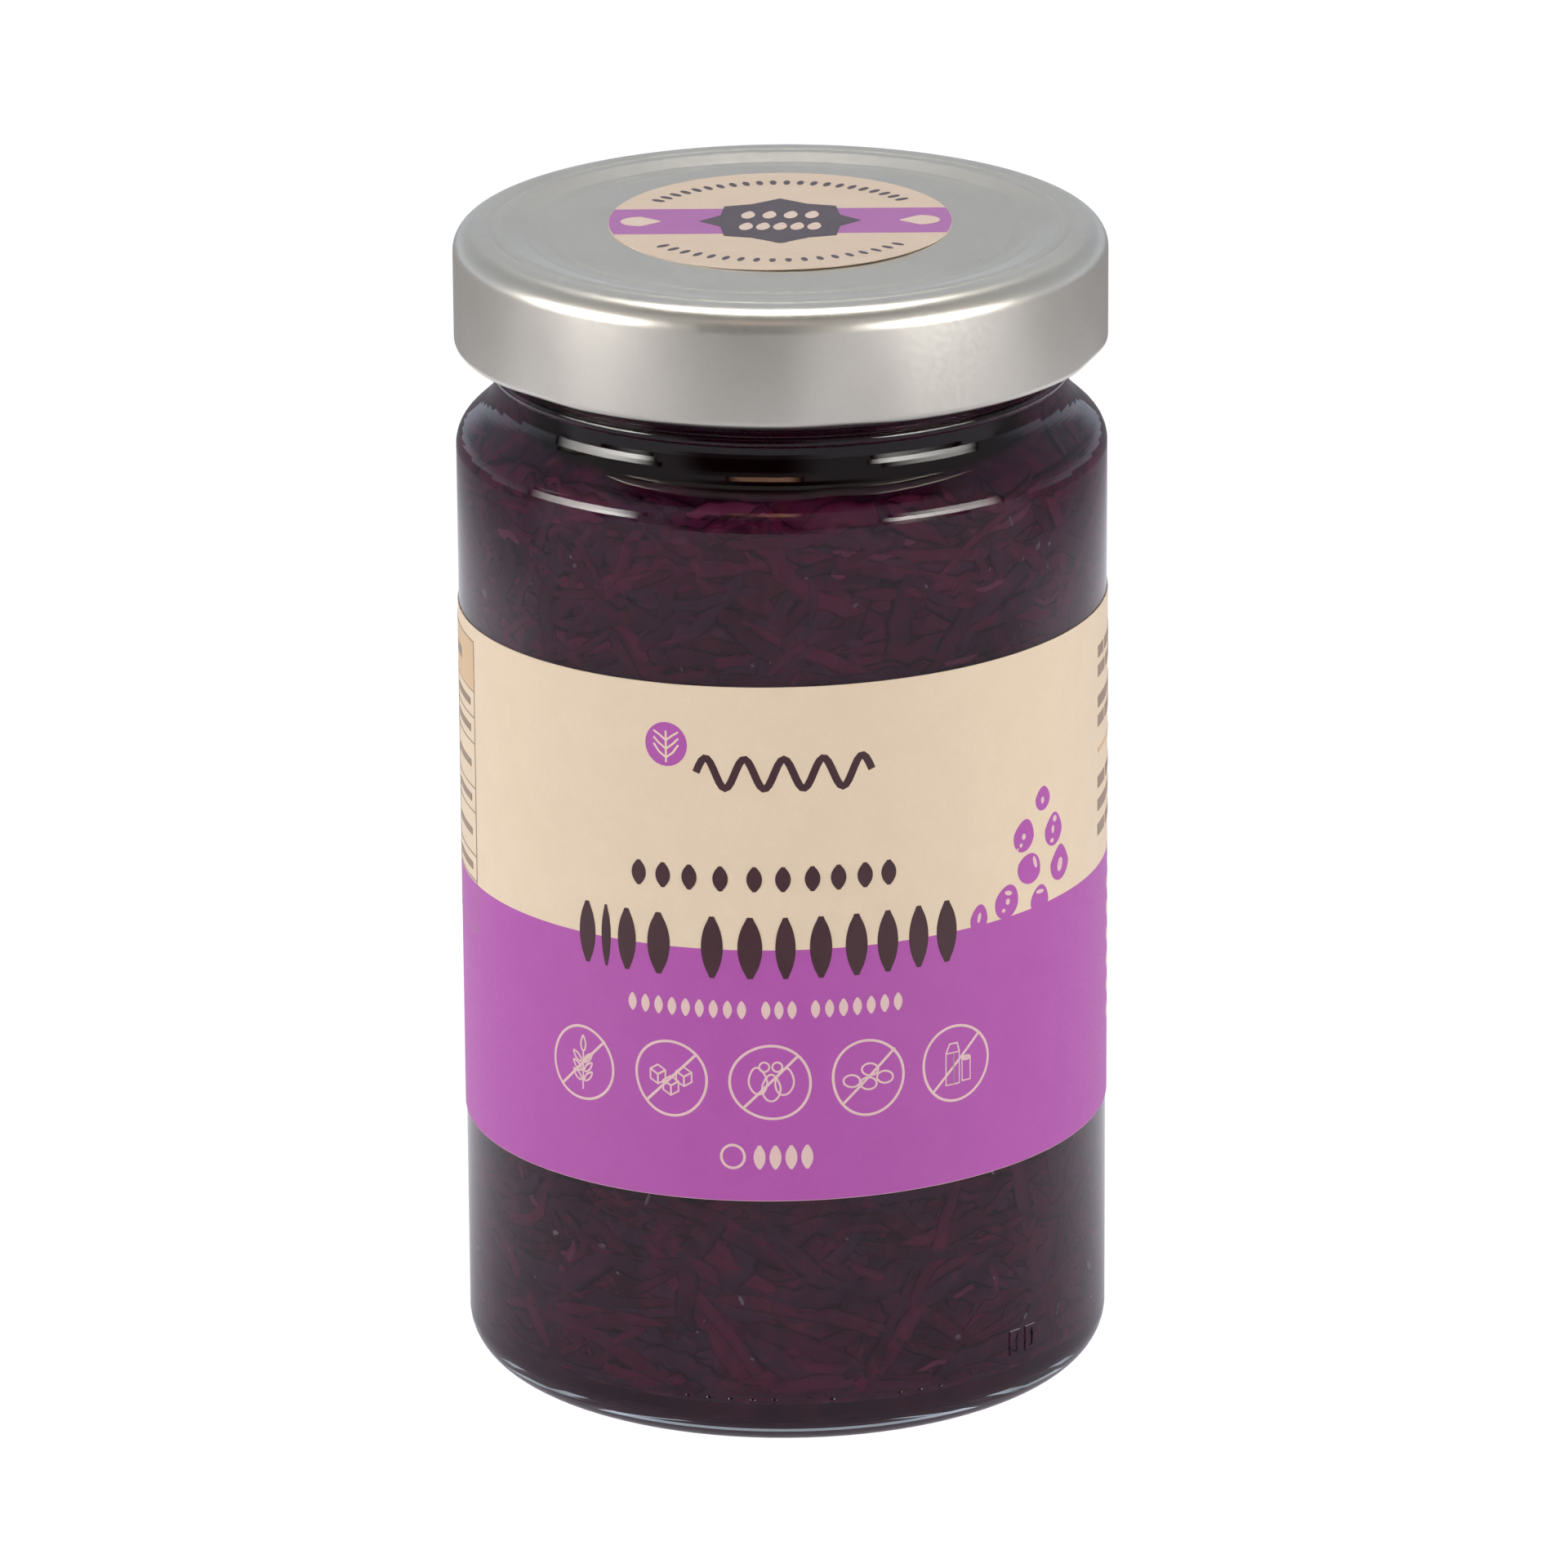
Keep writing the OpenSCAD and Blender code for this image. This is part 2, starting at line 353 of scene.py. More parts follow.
def lay_shreds(name, count, seed, lengths, widths, depths):
    """A heap of one sort of shred, laid against the inside of the wall all the way round."""
    chance = random.Random(seed)
    all_points = []
    all_faces = []
    tones = []
    for index in range(count):
        length = chance.uniform(*lengths)
        width = chance.uniform(*widths)
        lean = chance.gauss(0, level_lean) if chance.random() < level_share else chance.uniform(-90, 90)
        lean = math.radians(lean)
        curl = chance.gauss(0, curl_spread)
        around = chance.uniform(-math.pi, math.pi)
        height = chance.uniform(shred_foot / mm, shred_top / mm)
        depth = chance.uniform(*depths)
        rock = chance.uniform(-1, 1)
        flat = strip_points * np.array([length, width, shred_thickness])
        bend = curl * flat[:, 0] / length
        along = flat[:, 0] - flat[:, 1] * np.sin(bend)
        across = flat[:, 1] * np.cos(bend) + curl * flat[:, 0] ** 2 / (2 * length)
        across += edge_wave * width * np.sin(flat[:, 0] * edge_wave_turn + index)
        out = flat[:, 2] + depth + ripple * np.sin(flat[:, 0] * ripple_turn + rock * 3)
        out += twist * rock * flat[:, 1]
        turned_x = along * math.cos(lean) - across * math.sin(lean)
        turned_z = along * math.sin(lean) + across * math.cos(lean)
        # in front, shreds are kept below the painted shade under the shoulder
        if shoulder_shade_left - 2 * shoulder_shade_fade < math.degrees(around) < shoulder_shade_right + 2 * shoulder_shade_fade:
            over = height + turned_z.max() - shoulder_shade_low / mm
            height -= max(0, over) + (chance.uniform(0, lowered_scatter) if over > 2 else 0)
        level = np.clip(height + turned_z, shred_foot / mm, shred_top / mm) * mm
        angle = around + turned_x / inside_radius
        radius = np.interp(level, wall_levels, wall_radii) + out * mm
        spot = np.stack([radius * np.sin(angle), -radius * np.cos(angle), level], 1)
        all_faces.append(strip_faces + index * len(strip_points))
        all_points.append(spot)
        tones += [chance.random()] * len(strip_points)
    heap = make_heap(name, all_points, all_faces)
    tone = heap.data.attributes.new("tone", "FLOAT", "POINT")
    tone.data.foreach_set("value", np.array(tones, np.float32))
    return heap


def shred_finish(name, own, least, most):
    """Leaf of its own colour, more or less steeped in the colours of the mass by the shred's tone."""
    finish, nodes = new_finish(name)
    tone = nodes.node("ShaderNodeAttribute", {"attribute_name": "tone"}, None, "Fac")
    fibre = nodes.noise(0.9 * mm, 3, 0.6)
    colour = nodes.blend(nodes.spread(tone, 0, 1, least, most), cabbage_colour(nodes), own)
    colour = nodes.blend(nodes.spread(tone + fibre * 0.5, 0.4, 1.1, 0.4, 0), colour, brine_dark)
    nodes.surface({
        "Base Color": colour,
        "Roughness": nodes.spread(fibre, 0.3, 0.7, 0.4, 0.6),
        "Specular IOR Level": brine_specular,
    })
    return finish


leaf_depths = (0.12, 0.34)
rib_depths = (0.22, 0.36)
wine_shreds = lay_shreds("wine_shreds", 1400, 11, (8, 30), (1.2, 2.8), leaf_depths)
dress(wine_shreds, shred_finish("wine_leaf", (0.140, 0.0130, 0.0520, 1), 0.05, 0.55))
slate_shreds = lay_shreds("slate_shreds", 900, 23, (8, 26), (1.6, 3.6), leaf_depths)
dress(slate_shreds, shred_finish("slate_leaf", (0.058, 0.0200, 0.0520, 1), 0.05, 0.55))
rib_shreds = lay_shreds("rib_shreds", 170, 37, (3, 11), (0.8, 1.7), rib_depths)
dress(rib_shreds, shred_finish("pale_rib", (0.230, 0.0400, 0.1050, 1), 0.10, 0.60))
for shreds in (wine_shreds, slate_shreds, rib_shreds):
    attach(shreds, "root")


# Bubbles and crumbs: small pale beads of gas and chips of rib caught between the cabbage and the glass.
# Each is a rounded grain less than a millimetre across, flattened against the wall.

grain_count = 240
grain_small = 0.14
grain_large = 0.62
grain_low = 8
grain_high = 120
grain_depth = 0.42
grain_flatness = 0.35
grain_dark = (0.11, 0.045, 0.085, 1)
grain_pale = (0.19, 0.115, 0.160, 1)

bpy.ops.object.select_all(action="DESELECT")
bpy.ops.mesh.primitive_ico_sphere_add(subdivisions=2, radius=1)
bead = bpy.context.object
bead_points = np.array([vertex.co[:] for vertex in bead.data.vertices])
bead_faces = np.array([face.vertices[:] for face in bead.data.polygons])
bpy.data.objects.remove(bead)
chance = random.Random(5)
grain_points = []
grain_faces = []
for index in range(grain_count):
    size = grain_small + (grain_large - grain_small) * chance.random() ** 1.7
    around = chance.uniform(-math.pi, math.pi)
    height = chance.uniform(grain_low, grain_high)
    stretch = chance.uniform(1.0, 1.7)
    lean = chance.uniform(-1.2, 1.2)
    level = (height + size * (bead_points[:, 2] + bead_points[:, 0] * stretch * math.sin(lean))) * mm
    angle = around + size * bead_points[:, 0] * stretch * math.cos(lean) / inside_radius
    wall = np.interp(level, wall_levels, wall_radii)
    radius = wall + (grain_depth + grain_flatness * size * bead_points[:, 1]) * mm
    grain_points.append(np.stack([radius * np.sin(angle), -radius * np.cos(angle), level], 1))
    grain_faces.append(bead_faces + index * len(bead_points))
beads = make_heap("bubbles_and_crumbs", grain_points, grain_faces)
pale, nodes = new_finish("pale_crumb")
speck = nodes.noise(6 * mm, 3)
nodes.surface({
    "Base Color": nodes.blend(nodes.spread(speck, 0.35, 0.65), grain_dark, grain_pale),
    "Roughness": nodes.spread(speck, 0.3, 0.7, 0.3, 0.5),
})
dress(beads, pale)
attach(beads, "root")


# Lid: a six-lug twist-off cap drawn from thin tinplate, satin silver lacquer outside. Its centre panel is
# sunk behind a sloped ring with two faint rings round it, its edge is rounded, its skirt ends in a rolled
# curl, and the curl is pressed in at each lug.

lid_low, lid_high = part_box("lid")
lid_radius = lid_high.x
lid_top = lid_high.z
lid_bottom = lid_low.z
tin = 0.25 * mm
panel_drop = 0.6 * mm
panel_radius = 31.65 * mm
slope_width = 2.6 * mm
edge_round = 2.8 * mm
curl_radius = 0.95 * mm
curl_round = curl_radius * 0.95
panel_ring = 28.6 * mm
panel_ring_step = 0.8 * mm
rim_ring = 35.2 * mm
rim_ring_step = 0.5 * mm
ring_rise = 0.10 * mm
panel_ring_round = 0.4 * mm
small_round = 0.3 * mm
slope_round = 1.0 * mm
lug_count = 6
lug_turn = 12
lug_span = 12
lug_press = 0.45 * mm
lug_height = 4.5 * curl_radius
turning_steps = 192
tin_pale = (0.770, 0.744, 0.675, 1)
tin_grey = (0.722, 0.696, 0.628, 1)
tin_speck = (0.62, 0.59, 0.54, 1)
lacquer_metallic = 0.80


def arc_steps(sweep):
    return max(2, math.ceil(abs(sweep) / math.radians(7)))


def rounded(corners):
    """An outline of (radius, height, rounding) corners, with each corner rounded."""
    outline = []
    for index, (radius, height, rounding) in enumerate(corners):
        here = Vector((radius, height))
        if rounding == 0:
            outline.append(here)
            continue
        before = Vector(corners[index - 1][:2])
        after = Vector(corners[(index + 1) % len(corners)][:2])
        back = (before - here).normalized()
        ahead = (after - here).normalized()
        half = back.angle(ahead) / 2
        centre = here + (back + ahead).normalized() * rounding / math.sin(half)
        start = here + back * rounding / math.tan(half) - centre
        finish = here + ahead * rounding / math.tan(half) - centre
        first = math.atan2(start.y, start.x)
        sweep = math.remainder(math.atan2(finish.y, finish.x) - first, 2 * math.pi)
        for step in range(arc_steps(sweep) + 1):
            angle = first + sweep * step / arc_steps(sweep)
            outline.append(centre + rounding * Vector((math.cos(angle), math.sin(angle))))
    return outline


def turned(name, outline):
    """A piece spun from a closed outline round the jar's upright axis."""
    points = [(point.x, 0, point.y) for point in outline]
    edges = [(index, (index + 1) % len(points)) for index in range(len(points))]
    mesh = bpy.data.meshes.new(name)
    mesh.from_pydata(points, edges, [])
    piece = bpy.data.objects.new(name, mesh)
    bpy.context.collection.objects.link(piece)
    only(piece)
    bpy.ops.object.mode_set(mode="EDIT")
    bpy.ops.mesh.select_all(action="SELECT")
    bpy.ops.mesh.spin(steps=turning_steps, angle=2 * math.pi, center=(0, 0, 0), axis=(0, 0, 1))
    bpy.ops.mesh.select_all(action="SELECT")
    bpy.ops.mesh.remove_doubles(threshold=0.002 * mm)
    bpy.ops.mesh.normals_make_consistent(inside=False)
    bpy.ops.object.mode_set(mode="OBJECT")
    return piece


panel_level = lid_top - panel_drop
slope_top = panel_radius + slope_width
curl_inside = lid_radius - 2 * curl_radius
skirt_inside = lid_radius - tin
lid = turned("twist_off_lid", rounded([
    (0, panel_level, 0),
    (panel_ring, panel_level, panel_ring_round),
    (panel_ring + panel_ring_step, panel_level - ring_rise, panel_ring_round),
    (panel_ring + 2 * panel_ring_step, panel_level - ring_rise, panel_ring_round),
    (panel_ring + 3 * panel_ring_step, panel_level, panel_ring_round),
    (panel_radius, panel_level, small_round),
    (slope_top, lid_top, slope_round),
    (rim_ring, lid_top, small_round),
    (rim_ring + rim_ring_step, lid_top - ring_rise, small_round),
    (rim_ring + 2 * rim_ring_step, lid_top, small_round),
    (lid_radius, lid_top, edge_round),
    (lid_radius, lid_bottom, curl_round),
    (curl_inside, lid_bottom, curl_round),
    (curl_inside, lid_bottom + 2 * curl_radius, curl_round),
    (skirt_inside, lid_bottom + 2 * curl_radius, 0),
    (skirt_inside, lid_top - tin, edge_round - tin),
    (slope_top, lid_top - tin, slope_round),
    (panel_radius, panel_level - tin, slope_round),
    (0, panel_level - tin, 0),
]))
for vertex in lid.data.vertices:
    turn = math.degrees(math.atan2(vertex.co.x, -vertex.co.y))
    from_lug = abs(math.remainder(turn - lug_turn, 360 / lug_count))
    across = max(0, 1 - from_lug / lug_span)
    down = max(0, 1 - (vertex.co.z - lid_bottom) / lug_height)
    press = lug_press * (across * across * (3 - 2 * across)) * math.sqrt(down)
    if down > 0:
        spot = Vector((vertex.co.x, vertex.co.y, 0))
        vertex.co -= spot.normalized() * press
smooth(lid)

tinplate, nodes = new_finish("satin_tinplate")
peel = nodes.noise(0.6 * mm, 2, 0.5)
cloud = nodes.noise(16 * mm, 3, 0.6)
colour = nodes.blend(nodes.spread(cloud, 0.3, 0.7), tin_grey, tin_pale)
nodes.surface({
    "Base Color": nodes.blend(nodes.spread(peel, 0.3, 0.7, 0, 0.12), colour, tin_speck),
    "Metallic": lacquer_metallic,
    "Roughness": nodes.spread(peel, 0.3, 0.7, 0.29, 0.36),
    "Normal": nodes.bump(peel, 0.006 * mm, 0.4),
})
dress(lid, tinplate)
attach(lid, "root")
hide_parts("lid")


# Wrap-round label: one strip of satin paper glued to the straight wall, with a bare strip left at the
# back. It is drawn flat, as millimetres along the wrap and up the label, and printed in five inks that
# stand a few hundredths of a millimetre proud. It is then bent round the jar in one go.

paper_radius = 40.42
paper_thickness = 0.11
paper_turn = math.radians(170.05)
paper_reach = paper_turn * paper_radius
label_half = 33.1
label_middle = 66.1 * mm
label_slant = math.radians(0.86)
colour_edge = -0.5
field_proud = 0.02
motif_proud = 0.035
ink_proud = 0.05
ink_sunk = 0.03
line_thickness = 0.06
line_width = 0.34
fine_width = line_width * 0.72
rule_width = 0.2
vein_width = 0.3
wave_width = 0.95
cut_pitch = 1.3


def flat_curve(name, dimensions):
    drawing = bpy.data.curves.new(name, "CURVE")
    drawing.dimensions = dimensions
    return drawing


def add_outline(drawing, outline, closed=True):
    spline = drawing.splines.new("POLY")
    spline.points.add(len(outline) - 1)
    for point, spot in zip(spline.points, outline):
        point.co = (spot[0], spot[1], 0, 1)
    spline.use_cyclic_u = closed


def stand_up(drawing, finish, proud, flatten=1):
    """Makes a flat drawing a mesh that faces the front, with its top this far proud of the paper."""
    piece = bpy.data.objects.new(drawing.name, drawing)
    bpy.context.collection.objects.link(piece)
    only(piece)
    bpy.ops.object.convert(target="MESH")
    piece = bpy.context.object
    points = np.array([vertex.co[:] for vertex in piece.data.vertices])
    points[:, 2] *= flatten
    points[:, 2] += proud - points[:, 2].max()
    upright = np.stack([points[:, 0], -points[:, 2], points[:, 1]], 1)
    piece.data.vertices.foreach_set("co", upright.ravel().astype(np.float32))
    dress(piece, finish)
    return piece


def print_shapes(name, outlines, finish, proud):
    drawing = flat_curve(name, "2D")
    drawing.fill_mode = "BOTH"
    drawing.extrude = (proud + ink_sunk) / 2
    for outline in outlines:
        add_outline(drawing, outline)
    return stand_up(drawing, finish, proud)


def print_lines(name, lines, finish, proud, width):
    drawing = flat_curve(name, "3D")
    drawing.fill_mode = "FULL"
    drawing.bevel_depth = width / 2
    drawing.bevel_resolution = 1
    drawing.use_fill_caps = True
    for line, closed in lines:
        add_outline(drawing, line, closed)
    return stand_up(drawing, finish, proud, line_thickness / width)


def box_outline(left, right, low, high):
    return [(left, low), (right, low), (right, high), (left, high)]


def oval_outline(x, y, half_width, half_height, lean=0, point=0, count=28):
    """An oval, leaned over and drawn to a soft point at its top by the share given."""
    outline = []
    for index in range(count):
        angle = 2 * math.pi * index / count
        across = half_width * math.sin(angle) * (1 - point * max(0, math.cos(angle)))
        up = half_height * math.cos(angle)
        outline.append((x + across * math.cos(lean) + up * math.sin(lean),
                        y - across * math.sin(lean) + up * math.cos(lean)))
    return outline


def leaf_outline(x, low, high, half_width, belly=0.5, count=14):
    """A pointed upright leaf, widest at the share belly of its height."""
    right = []
    left = []
    for index in range(count + 1):
        share = index / count
        bulge = math.sin(math.pi * share ** (math.log(0.5) / math.log(belly)))
        wide = half_width * max(0.22, bulge ** 0.62)
        right.append((x + wide, low + (high - low) * share))
        left.append((x - wide, low + (high - low) * share))
    return right + left[::-1]


def paper_finish(name, colour, shade, roughness=0.5):
    finish, nodes = new_finish(name)
    fibre = nodes.noise(0.35 * mm, 4, 0.7)
    mottle = nodes.noise(5 * mm, 4, 0.65)
    tint = nodes.blend(nodes.spread(mottle, 0.35, 0.65, 0, 0.55), colour, shade)
    nodes.surface({
        "Base Color": nodes.blend(nodes.spread(fibre, 0.35, 0.7, 0, 0.5), tint, shade),
        "Roughness": nodes.spread(fibre, 0.3, 0.7, roughness - 0.05, roughness + 0.08),
        "Specular IOR Level": 0.4,
        "Normal": nodes.bump(fibre, 0.01 * mm, 0.4),
    })
    return finish


cream_paper = paper_finish("cream_label_paper", (0.838, 0.690, 0.515, 1), (0.793, 0.645, 0.475, 1))
purple_ink = paper_finish("purple_label_ink", (0.470, 0.104, 0.440, 1), (0.440, 0.092, 0.410, 1), 0.45)
dark_ink = paper_finish("dark_brown_ink", (0.052, 0.020, 0.026, 1), (0.070, 0.030, 0.036, 1), 0.45)
cream_ink = paper_finish("cream_label_ink", (0.800, 0.600, 0.560, 1), (0.760, 0.540, 0.520, 1))
grey_ink = paper_finish("small_print_ink", (0.300, 0.220, 0.160, 1), (0.380, 0.290, 0.215, 1))
amber_ink = paper_finish("table_head_ink", (0.700, 0.500, 0.300, 1), (0.740, 0.540, 0.340, 1))

bpy.ops.object.select_all(action="DESELECT")
bpy.ops.mesh.primitive_cube_add(size=1, location=(0, paper_thickness / 2, 0),
                                scale=(2 * paper_reach, paper_thickness, 2 * label_half))
label = bpy.context.object
label.name = "label_paper"
bpy.ops.object.transform_apply(location=True, rotation=True, scale=True)
dress(label, cream_paper)
prints = []

# the purple lower half and the berries that spill up out of it
paper_margin = 0.05
field_edge = paper_reach - paper_margin
purple_field = [box_outline(-field_edge, field_edge, paper_margin - label_half, colour_edge)]
prints.append(print_shapes("purple_field", purple_field, purple_ink, field_proud))

# each berry: its place along and up, half its width and height, its lean and how far it comes to a point
berries = (
    (36.5, 13.2, 1.45, 1.55, 0.10, 0.25),
    (38.8, 8.6, 1.85, 2.15, 0.12, 0.35),
    (32.9, 9.3, 1.85, 2.10, 0.25, 0.25),
    (40.2, 3.9, 2.05, 2.30, 0.10, 0.45),
    (33.9, 4.8, 2.20, 1.95, 0.45, 0.15),
    (29.9, 1.5, 1.95, 2.20, 0.35, 0.15),
    (35.9, 0.2, 1.75, 1.95, 0.15, 0.20),
    (25.4, 0.3, 1.30, 1.90, 0.15, 0.20),
)
berry_shapes = [oval_outline(*berry) for berry in berries]
prints.append(print_shapes("purple_berries", berry_shapes, purple_ink, motif_proud))

# the glints cut out of the berries: place along and up, half the width and height, and lean
glints = (
    (36.4, 13.0, 0.30, 0.45, 0),
    (39.0, 9.9, 0.42, 0.40, 0.5),
    (38.6, 8.6, 0.28, 0.50, 0.1),
    (38.4, 7.2, 0.38, 0.28, 0),
    (32.8, 9.2, 0.34, 0.40, 0),
    (32.3, 8.2, 0.26, 0.26, 0),
    (31.7, 7.8, 0.20, 0.16, 0),
    (40.2, 3.6, 0.55, 0.90, 0.25),
    (34.9, 5.4, 0.30, 0.85, -0.35),
    (30.1, 2.6, 0.62, 0.30, 0.3),
    (30.0, 1.5, 0.34, 0.40, 0),
    (29.3, 0.5, 0.30, 0.24, 0),
    (35.9, 1.3, 0.75, 0.26, 0.1),
    (25.4, 0.5, 0.26, 0.65, 0.2),
)
glint_shapes = [oval_outline(*glint) for glint in glints]
prints.append(print_shapes("berry_glints", glint_shapes, cream_ink, ink_proud))

# a small purple cabbage head with cream veins, and a plain dark wave beside it
head_x = -14.6
head_y = 25.4
head_shape = [oval_outline(head_x, head_y, 2.7, 2.8)]
prints.append(print_shapes("cabbage_head", head_shape, purple_ink, motif_proud))
head_lines = [([(head_x, head_y - 2.3), (head_x, head_y + 1.7)], False)]
for side in (-1, 1):
    for rise in (-1.2, -0.1, 1.0):
        vein = [(head_x, head_y + rise - 0.5), (head_x + side * 0.9, head_y + rise + 0.2)]
        vein.append((head_x + side * 1.6, head_y + rise + 0.9 - 0.25 * rise))
        head_lines.append((vein, False))
prints.append(print_lines("cabbage_veins", head_lines, cream_paper, ink_proud, vein_width))
wave_start = -10.8
wave_length = 21.6
wave_level = 22.1
wave_swing = 1.9
wave_count = 4.5
wave_steps = 60
name_wave = []
for index in range(wave_steps + 1):
    share = index / wave_steps
    swing = wave_swing * math.sin(2 * math.pi * wave_count * share)
    name_wave.append((wave_start + wave_length * share, wave_level + swing))
prints.append(print_lines("name_wave", [(name_wave, False)], dark_ink, motif_proud, wave_width))

# two rows of plain dark leaves: a row of large ones of many widths, and a row of small ones over it
leaf_fill = 0.8
narrowest_leaf = 0.66
title_low = -4.2
title_high = 3.7
mark_low = 7.0
mark_high = 10.2
mark_half_width = 0.95
title_spans = (
    (-27.4, -24.4), (-23.8, -22.4), (-21.7, -18.6), (-17.7, -14.0),
    (-10.7, -7.3), (-6.2, -2.4), (-1.5, 1.6), (2.7, 6.1),
    (7.1, 10.5), (11.1, 14.4), (15.2, 18.4), (18.9, 22.4),
)
dark_shapes = []
for left, right in title_spans:
    middle = (left + right) / 2
    half = (right - left) / 2
    dark_shapes.append(leaf_outline(middle, title_low, title_high, max(narrowest_leaf, half * leaf_fill)))
mark_places = (-18.4, -15.2, -11.8, -7.9, -3.7, -0.2, 3.4, 6.6, 9.9, 12.9)
for middle in mark_places:
    dark_shapes.append(leaf_outline(middle, mark_low, mark_high, mark_half_width))
prints.append(print_shapes("dark_marks", dark_shapes, dark_ink, ink_proud))

# a line of small cream leaves in three runs, and at the foot a ring and four leaves
leaf_low = -9.35
leaf_high = -7.1
leaf_half_width = 0.56
foot_low = -28.9
foot_high = -25.8
foot_start = -3.3
foot_pitch = 1.95
foot_half_width = 0.74
cream_shapes = []
for left, right, count in ((-20.3, -4.5, 9), (-3.2, 1.6, 3), (2.8, 14.9, 7)):
    pitch = (right - left) / count
    for index in range(count):
        start = left + pitch * index
        cream_shapes.append(leaf_outline(start + pitch / 2, leaf_low, leaf_high, leaf_half_width))
for index in range(4):
    cream_shapes.append(leaf_outline(foot_start + foot_pitch * index, foot_low, foot_high, foot_half_width))
prints.append(print_shapes("cream_marks", cream_shapes, cream_ink, ink_proud))
cream_lines = [(oval_outline(-6.6, -27.3, 1.45, 1.5), True)]

# five hand-drawn rings, each with a small drawing of a food and a stroke through it
rings = ((-26.9, 4.5), (-14.4, 4.6), (-1.9, 4.9), (10.2, 4.5), (22.0, 4.7))
ring_half_height = 4.8
ring_height = -17.6
ring_wobble = 0.018
ring_dent = 0.014
chance = random.Random(3)
for x, half_width in rings:
    phase = chance.uniform(0, 6)
    ring = []
    for spot in oval_outline(0, 0, half_width, ring_half_height, 0, 0, 44):
        wave_angle = math.atan2(spot[1], spot[0])
        wobble = ring_wobble * math.sin(2 * wave_angle + phase)
        stretch = 1 + wobble + ring_dent * math.sin(3 * wave_angle + 2 * phase)
        ring.append((x + spot[0] * stretch, ring_height + spot[1] * stretch))
    cream_lines.append((ring, True))
    cream_lines.append(([(x - 3.3, ring_height - 3.3), (x + 3.4, ring_height + 3.4)], False))
fine_lines = []

# an ear of grain
ear_x, ear_y = rings[0][0], ring_height
fine_lines.append(([(ear_x, ear_y - 3.4), (ear_x + 0.1, ear_y + 1.6)], False))
for side in (-1, 1):
    for rise in (-1.6, -0.4, 0.8):
        grain = oval_outline(ear_x + side * 0.85, ear_y + rise, 0.34, 0.85, side * 0.75, 0.4, 16)
        fine_lines.append((grain, True))
fine_lines.append((oval_outline(ear_x + 0.1, ear_y + 2.6, 0.38, 1.0, 0, 0.5, 16), True))

# three cubes of sugar
cube_x, cube_y = rings[1][0], ring_height
for shift_x, shift_y in ((-1.7, 0.3), (1.7, 0.3), (0, -1.0)):
    middle_x, middle_y = cube_x + shift_x, cube_y + shift_y
    hexagon = []
    for turn in range(0, 360, 60):
        turned_by = math.radians(turn)
        hexagon.append((middle_x + 1.15 * math.sin(turned_by), middle_y + 1.25 * math.cos(turned_by)))
    fine_lines.append((hexagon, True))
    for corner in hexagon[1::2]:
        fine_lines.append(([(middle_x, middle_y), corner], False))

# eggs, three in front and two behind
egg_x, egg_y = rings[2][0], ring_height
for shift_x, shift_y, lean in ((-1.55, 0.2, -0.12), (1.75, 0.1, 0.15), (0.1, -0.7, 0)):
    fine_lines.append((oval_outline(egg_x + shift_x, egg_y + shift_y, 1.15, 1.75, lean, 0.25, 22), True))
for shift_x in (-0.75, 0.85):
    fine_lines.append((oval_outline(egg_x + shift_x, egg_y + 2.0, 0.62, 0.62, 0, 0, 14), True))

# four beans
bean_x, bean_y = rings[3][0], ring_height
for shift_x, shift_y in ((-2.1, -0.3), (0, -0.8), (2.1, -0.2), (0.2, 1.0)):
    fine_lines.append((oval_outline(bean_x + shift_x, bean_y + shift_y, 1.05, 0.78, 0.2, 0, 18), True))

# a carton and a glass of milk
milk_x, milk_y = rings[4][0], ring_height
fine_lines.append((box_outline(milk_x - 1.5, milk_x - 0.4, milk_y - 2.7, milk_y + 1.4), True))
fine_lines.append((box_outline(milk_x - 0.4, milk_x + 0.4, milk_y - 2.7, milk_y + 1.4), True))
fine_lines.append(([(milk_x - 1.5, milk_y + 1.4), (milk_x - 1.0, milk_y + 2.6), (milk_x + 0.1, milk_y + 2.6),
                    (milk_x + 0.4, milk_y + 1.4)], False))
fine_lines.append((box_outline(milk_x + 0.8, milk_x + 2.0, milk_y - 2.5, milk_y + 0.4), True))
fine_lines.append((oval_outline(milk_x + 1.4, milk_y + 0.4, 0.6, 0.25, 0, 0, 14), True))
prints.append(print_lines("ring_lines", cream_lines, cream_ink, ink_proud, line_width))
prints.append(print_lines("food_drawings", fine_lines, cream_ink, ink_proud, fine_width))

# side panels: a ruled table at one side and rows of small print at the other, all as plain bars
table_right = -49.9
table_left = -98.0
table_rows = (31.1, 24.6, 21.2, 17.8, 12.0, 8.8, 3.1, -0.2, -6.8)
bar_half = 0.45
table_lines = []
for row in table_rows:
    table_lines.append(([(table_left, row), (table_right, row)], False))
for column in (table_left, -74.0, -61.0, table_right):
    table_lines.append(([(column, table_rows[0]), (column, table_rows[-1])], False))
prints.append(print_lines("table_rules", table_lines, grey_ink, ink_proud, rule_width))
table_head = [box_outline(table_left, table_right, table_rows[1], table_rows[0])]
prints.append(print_shapes("table_head", table_head, amber_ink, motif_proud))
small_bars = []
for row, below in zip(table_rows[1:-2], table_rows[2:-1]):
    middle = (row + below) / 2
    for left, right in ((-59.5, -51.6), (-72.5, -64.0), (-96.0, -79.0)):
        small_bars.append(box_outline(left, right, middle - bar_half, middle + bar_half))
small_bars.append(box_outline(-60.0, -56.0, 27.2, 28.6))
small_bars.append(box_outline(-96.0, -78.0, 27.0, 28.8))
chance = random.Random(8)
text_left = 52.3
text_right = 97


